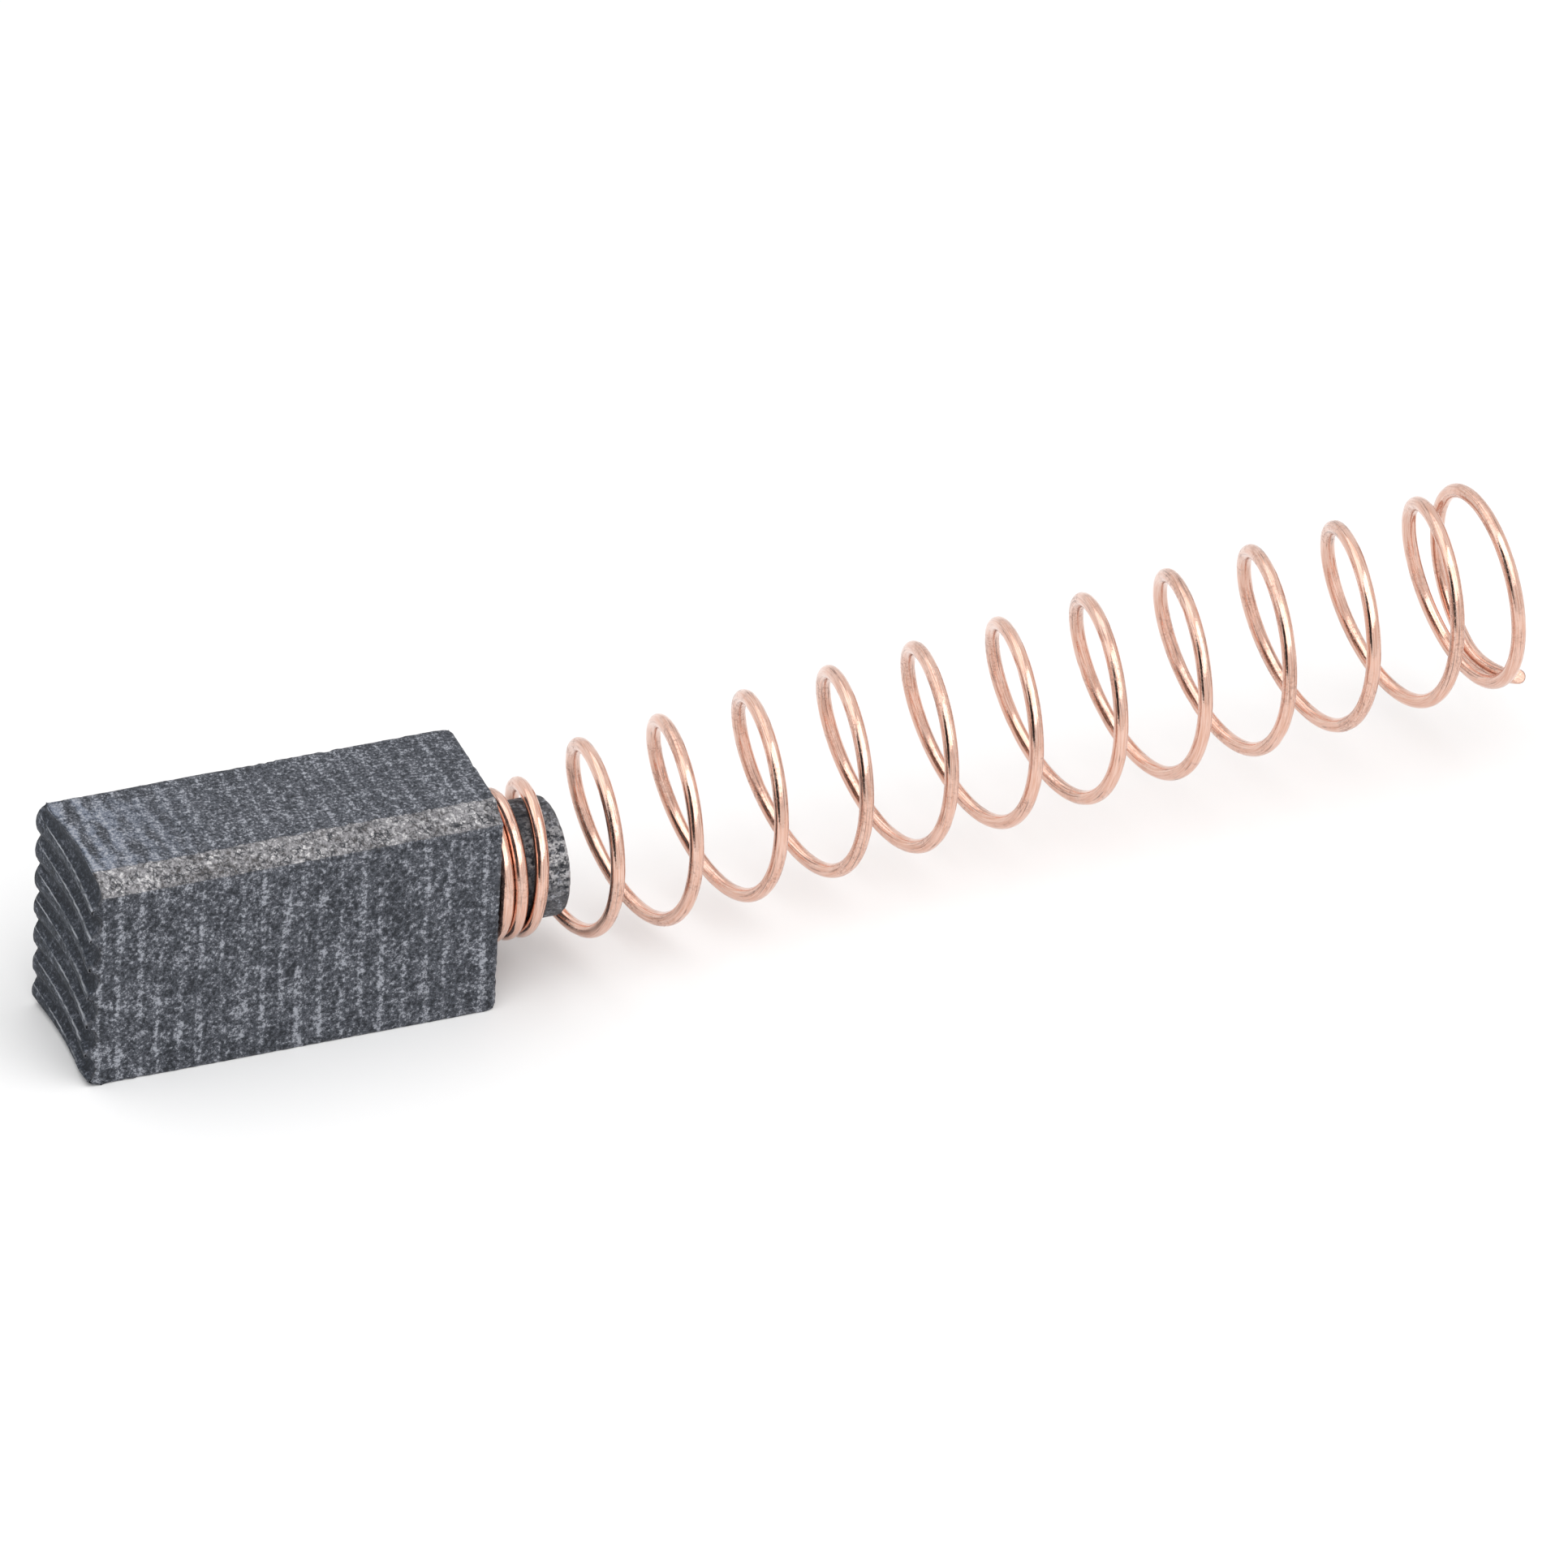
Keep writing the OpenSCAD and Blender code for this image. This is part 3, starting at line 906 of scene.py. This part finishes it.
class SpringForm:
    """The wire's run: grip on the stub, rise, open turns and closed end."""

    seat_gap = 0.01
    turn_gap = 0.01
    lean_length = 1.4
    flare_delay = 0.3
    flare_turns = 1.6
    kick_turns = 0.15
    # Share of the wire's radius that its flat ends have
    cap_share = 0.8
    # How much the streaks are drawn out along the wire
    run_scale = 0.12
    # Depth of the dents
    dent_depth = 0.012

    def __init__(self, s, b):
        for key in ("wire_diameter", "grip_clearance", "coil_diameter", "coil_growth",
                    "end_growth", "coil_pitch", "leaving_pitch", "end_kick"):
            setattr(self, key, getattr(s, key) / MM)
        for key in ("grip_turns", "rise_turns", "settle_turns", "open_turns", "closing_turns",
                    "tail_turns", "start_angle", "lean_back", "lean_up", "sides", "rings"):
            setattr(self, key, getattr(s, key))
        self.stub_radius = b.stub_diameter / MM / 2
        self.shoulder = (BLOCK_HIGH.x - b.stub_length) / MM
        self.middle = BLOCK_HIGH.z / MM / 2
        self.closed_pitch = self.wire_diameter + self.turn_gap
        self.settle_start = self.grip_turns + self.rise_turns
        self.open_end = self.settle_start + self.settle_turns + self.open_turns
        self.end = self.open_end + self.closing_turns + self.tail_turns
        self.lean_start = self.wire_diameter + self.seat_gap + self.closed_pitch * self.grip_turns

    def advance(self, u):
        """Distance along the axis after u turns, from the shoulder."""
        s = self.wire_diameter / 2 + self.seat_gap + self.closed_pitch * u
        for gain, start, over in (
            (self.leaving_pitch - self.closed_pitch, self.grip_turns, self.rise_turns),
            (self.coil_pitch - self.leaving_pitch, self.settle_start, self.settle_turns),
            (-self.coil_pitch, self.open_end, self.closing_turns),
        ):
            s = s + gain * over * smooth_sum((u - start) / over)
        return s + self.end_kick * smooth((u - self.end + self.kick_turns) / self.kick_turns)

    def radius(self, u):
        """Distance of the wire's centre from the axis after u turns."""
        grip = self.stub_radius + self.wire_diameter / 2 + self.grip_clearance
        flared = smooth((u - self.grip_turns - self.flare_delay) / self.flare_turns)
        opened = np.maximum(u - self.settle_start, 0) / (self.settle_turns + self.open_turns)
        closed = smooth((u - self.open_end) / (self.closing_turns + self.tail_turns))
        open_radius = grip + (self.coil_diameter / 2 - grip) * flared
        return open_radius + self.coil_growth / 2 * opened + self.end_growth / 2 * closed

    def centre(self, u):
        """Centre of the wire after u turns, and the way out from the axis."""
        u = np.asarray(u, float)
        s = self.advance(u)
        lean = smooth((s - self.lean_start) / self.lean_length)
        back, up = self.lean_back * lean, self.lean_up * lean
        full = np.array([
            math.cos(self.lean_back) * math.cos(self.lean_up),
            math.sin(self.lean_back) * math.cos(self.lean_up),
            math.sin(self.lean_up),
        ])
        zero = 0 * s
        axis = np.stack([self.shoulder + s, zero, zero + self.middle], -1)
        leaned = self.lean_length * smooth_sum((s - self.lean_start) / self.lean_length)
        axis = axis + leaned[..., None] * (full - [1, 0, 0])
        across = np.stack([-np.sin(back), np.cos(back), zero], -1)
        above = np.stack(
            [-np.cos(back) * np.sin(up), -np.sin(back) * np.sin(up), np.cos(up)], -1
        )
        turned = (self.start_angle + 2 * math.pi * u)[..., None]
        out = np.sin(turned) * across + np.cos(turned) * above
        return axis + self.radius(u)[..., None] * out, out

    def build(self):
        count = round(self.end * self.rings)
        u = np.linspace(0, self.end, count + 1)
        centre, out = self.centre(u)
        step = 0.25 / self.rings
        along = self.centre(u + step)[0] - self.centre(u - step)[0]
        along /= np.linalg.norm(along, axis=1)[:, None]
        out -= (out * along).sum(1)[:, None] * along
        out /= np.linalg.norm(out, axis=1)[:, None]
        side = np.cross(along, out)
        radius = self.wire_diameter / 2
        around = 2 * math.pi * np.arange(self.sides) / self.sides
        cosine, sine = np.cos(around), np.sin(around)
        ring = cosine[None, :, None] * out[:, None] + sine[None, :, None] * side[:, None]
        points = (centre[:, None] + radius * ring).reshape(-1, 3)
        n = self.sides
        faces = []
        for r in range(count):
            for i in range(n):
                j = (i + 1) % n
                faces.append((r * n + i, r * n + j, (r + 1) * n + j, (r + 1) * n + i))
        caps = []
        for r in (0, count):
            base = len(points) + len(caps)
            caps.extend(centre[r] + radius * self.cap_share * ring[r])
            for i in range(n):
                j = (i + 1) % n
                faces.append((r * n + i, r * n + j, base + j, base + i))
            faces.append(tuple(base + i for i in range(n)))
        points = np.concatenate([points, np.array(caps)])
        run = np.concatenate([[0], np.cumsum(np.linalg.norm(np.diff(centre, axis=0), axis=1))])
        ends = [run[0]] * n + [run[-1]] * n
        marks = {
            "round_out": np.append(np.tile(cosine, count + 1), np.zeros(2 * n)),
            "round_side": np.append(np.tile(sine, count + 1), np.zeros(2 * n)),
            "run": np.append(np.repeat(run, n), ends) * self.run_scale,
        }
        return points, faces, marks

    def worn(self, p, normals):
        """Shallow dents and scuffs along the wire."""
        dents = smooth((rough(p, 1.6, shift=5.0, octaves=2) - 0.35) / 0.5) * self.dent_depth
        return p - normals * dents[:, None]


class BRUSH_OT_spring(bpy.types.Operator):
    """Builds the copper spring from its grip on the stub to its closed end"""

    bl_idname = "brush.spring"
    bl_label = "Spring"

    def execute(self, context):
        s = context.scene.brush_spring
        form = SpringForm(s, context.scene.carbon_block)
        points, faces, marks = form.build()
        piece = mesh_object("wire_spring", points, faces, marks)
        turn_outward(piece)
        place(piece, form.worn(points, vertex_normals(piece)), "spring")
        piece.data.materials.append(drawn_copper(s))
        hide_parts("spring")
        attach(piece, "root")
        return {"FINISHED"}


# ---- the stage


class BRUSH_OT_stage(bpy.types.Operator):
    """Adds the floor, the lamps, the surroundings and the camera"""

    bl_idname = "brush.stage"
    bl_label = "Stage"

    floor_reach = 3.0
    # Height of a lamp as a share of its width
    lamp_shape = 0.7
    # The dark card's width, height and distance, and how far it is to the camera's left
    card_width, card_height, card_distance, card_left = 0.21, 0.4, 0.3, 0.7
    # The camera's right and up, and where it aims from the middle of the shoulder
    camera_right = Vector((0.9301, -0.3648, 0.0450))
    camera_up = Vector((0.1749, 0.5471, 0.8186))
    aim_right, aim_up = 0.010095, 0.002745

    def execute(self, context):
        scene = context.scene
        stage = scene.brush_stage
        self.floor(scene, stage)
        self.surroundings(scene, stage)
        middle = (CAD_LOW + CAD_HIGH) / 2
        key, top = stage.key, 0.35 * stage.key
        self.lamp(scene, "key_lamp", middle, (0.1, -0.5, 0.86), width=0.32, distance=0.22, level=key)
        self.lamp(scene, "top_lamp", middle, (-0.35, 0.35, 0.87), width=0.34, distance=0.25, level=top)
        self.camera(scene, stage)
        self.dark_card(scene, middle)
        scene.view_settings.view_transform = "Standard"
        return {"FINISHED"}

    def sheet(self, scene, name, wide, tall, material):
        """Flat sheet with its middle at the origin, twice as wide and tall as these."""
        mesh = bpy.data.meshes.new(name)
        corners = [(-wide, -tall, 0), (wide, -tall, 0), (wide, tall, 0), (-wide, tall, 0)]
        mesh.from_pydata(corners, [], [(0, 1, 2, 3)])
        mesh.materials.append(material)
        sheet = bpy.data.objects.new(name, mesh)
        scene.collection.objects.link(sheet)
        return sheet

    def floor(self, scene, stage):
        levels = {"Base Color": stage.floor, "Roughness": 0.9, "Specular IOR Level": 0.1}
        material = new_material("pale_floor", levels)[0]
        floor = self.sheet(scene, "floor", self.floor_reach, self.floor_reach, material)

    def surroundings(self, scene, stage):
        world = bpy.data.worlds.new("white_room")
        world.use_nodes = True
        graph = Graph(world.node_tree)
        back = next(n for n in world.node_tree.nodes if n.type == "BACKGROUND")
        path = graph.add("ShaderNodeLightPath").outputs
        seen = graph.math("ADD", path["Is Camera Ray"], path["Is Glossy Ray"], True)
        seen = graph.math("ADD", seen, path["Is Transmission Ray"], True)
        graph.join(graph.blend(seen, stage.fill, 1.0), back.inputs["Strength"])
        back.inputs["Color"].default_value = (1, 1, 1, 1)
        scene.world = world

    def lamp(self, scene, name, target, way, width, distance, level):
        data = bpy.data.lights.new(name, "AREA")
        data.shape = "RECTANGLE"
        data.size, data.size_y = width, width * self.lamp_shape
        data.energy = level * 4 * math.pi * distance**2
        lamp = bpy.data.objects.new(name, data)
        way = Vector(way).normalized()
        lamp.location = target + way * distance
        lamp.rotation_mode = "QUATERNION"
        lamp.rotation_quaternion = way.to_track_quat("Z", "Y")
        scene.collection.objects.link(lamp)

    def dark_card(self, scene, target):
        """Dark card beside the camera, seen only where the wire and the stub mirror it."""
        turned = scene.camera.matrix_world.to_3x3()
        back, left = turned.col[2].normalized(), -turned.col[0].normalized()
        way = (back + self.card_left * left).normalized()
        levels = {"Base Color": (0.02, 0.02, 0.02), "Roughness": 1.0}
        material = new_material("black_card", levels)[0]
        card = self.sheet(scene, "dark_card", self.card_width / 2, self.card_height / 2, material)
        turn = way.to_track_quat("Z", "Y").to_matrix().to_4x4()
        card.matrix_world = Matrix.Translation(target + way * self.card_distance) @ turn
        card.visible_camera = card.visible_diffuse = card.visible_shadow = False
        card.visible_transmission = card.visible_volume_scatter = False

    def camera(self, scene, stage):
        back = self.camera_right.cross(self.camera_up).normalized()
        right = self.camera_up.cross(back).normalized()
        up = back.cross(right)
        shoulder = Vector((BLOCK_HIGH.x - scene.carbon_block.stub_length, 0, BLOCK_HIGH.z / 2))
        target = shoulder + right * self.aim_right + up * self.aim_up
        data = bpy.data.cameras.new("camera")
        data.lens, data.sensor_width = stage.lens, 36.0
        distance = stage.lens * stage.view_width / data.sensor_width
        data.clip_start, data.clip_end = 0.01, 10.0
        camera = bpy.data.objects.new("camera", data)
        turn = Matrix((right, up, back)).transposed().to_4x4()
        camera.matrix_world = Matrix.Translation(target + back * distance) @ turn
        scene.collection.objects.link(camera)
        scene.camera = camera


class BRUSH_PT_panel(bpy.types.Panel):
    """Carbon brush in the sidebar"""

    bl_idname = "BRUSH_PT_panel"
    bl_label = "Carbon Brush"
    bl_space_type = "VIEW_3D"
    bl_region_type = "UI"
    bl_category = "Carbon Brush"

    def draw(self, context):
        for name, operator in (
            ("carbon_block", "brush.block"),
            ("brush_spring", "brush.spring"),
            ("brush_stage", "brush.stage"),
        ):
            box = self.layout.box()
            settings = getattr(context.scene, name)
            for key in settings.__annotations__:
                box.prop(settings, key)
            box.operator(operator)


CLASSES = (
    CarbonBlockSettings,
    SpringSettings,
    StageSettings,
    BRUSH_OT_block,
    BRUSH_OT_spring,
    BRUSH_OT_stage,
    BRUSH_PT_panel,
)


def register():
    for item in CLASSES:
        bpy.utils.register_class(item)
    bpy.types.Scene.carbon_block = PointerProperty(type=CarbonBlockSettings)
    bpy.types.Scene.brush_spring = PointerProperty(type=SpringSettings)
    bpy.types.Scene.brush_stage = PointerProperty(type=StageSettings)


def unregister():
    del bpy.types.Scene.brush_stage
    del bpy.types.Scene.brush_spring
    del bpy.types.Scene.carbon_block
    for item in reversed(CLASSES):
        bpy.utils.unregister_class(item)


def main():
    register()
    bpy.ops.brush.block()
    bpy.ops.brush.spring()
    bpy.ops.brush.stage()


if __name__ == "__main__":
    main()
